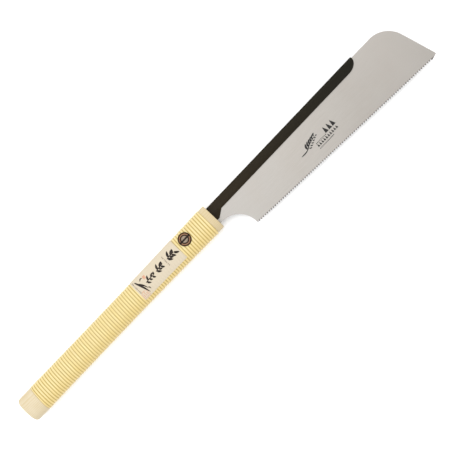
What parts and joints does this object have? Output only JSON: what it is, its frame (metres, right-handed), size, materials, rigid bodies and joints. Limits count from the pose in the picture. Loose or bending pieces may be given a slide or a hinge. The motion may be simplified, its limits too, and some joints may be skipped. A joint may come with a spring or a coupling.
{
  "type": "japanese pull saw",
  "caption": "Japanese pull saw: thin toothed blade in a half-length folded steel back, clamped by a coin-slot screw in an oval cane-bound wooden handle.",
  "frame": {"origin": "under the middle of the saw's box, in the plane of its lowest point when it lies flat with the screw head up", "axes": "+X along the saw towards the toe of the blade, +Y towards the stiffened back, +Z out of the side that carries the screw head"},
  "size_m": [0.5418, 0.0662, 0.0244],
  "materials": {
    "blade_steel": "satin, fine grain along the blade",
    "blacked_steel": "black oxide, satin",
    "plain_steel": "bright zinc",
    "core_wood": "planed pale softwood, unvarnished",
    "cane": "natural rattan peel, slightly glossy",
    "label_paper": "matt printed paper",
    "bronze": "antiqued bronze plating"
  },
  "bodies": {
    "handle": {"handle_core_screw_side": "core_wood", "handle_core_nut_side": "core_wood", "tang_socket": "plain_steel", "cane_wrap_front": "cane", "cane_wrap_middle": "cane", "cane_wrap_rear": "cane", "paper_label": "label_paper", "screw_cup": "bronze", "clamp_nut": "bronze", "nut_cup": "bronze"},
    "blade_unit": {"blade": "blade_steel", "back_and_tang": "blacked_steel", "tang_rivet_1": "plain_steel", "tang_rivet_2": "plain_steel"},
    "washer": {"screw_washer": "plain_steel"},
    "screw": {"clamp_screw": "bronze"}
  },
  "joints": [
    {"name": "blade_slide", "type": "slide", "parent": "handle", "child": "blade_unit", "axis": [1, 0, 0], "range_m": [0, 0.055]},
    {"name": "screw_lift", "type": "slide", "parent": "handle", "child": "washer", "axis": [0, 0, 1], "range_m": [0, 0.0018]},
    {"name": "screw_turn", "type": "hinge", "parent": "washer", "child": "screw", "pos_m": [-0.03749, 0.02249, 0.01201], "axis": [0, 0, 1], "range_deg": [0, 810]}
  ],
  "couplings": [
    {"joint": "screw_turn", "follows": "screw_lift", "rad_per_m": 7854}
  ]
}
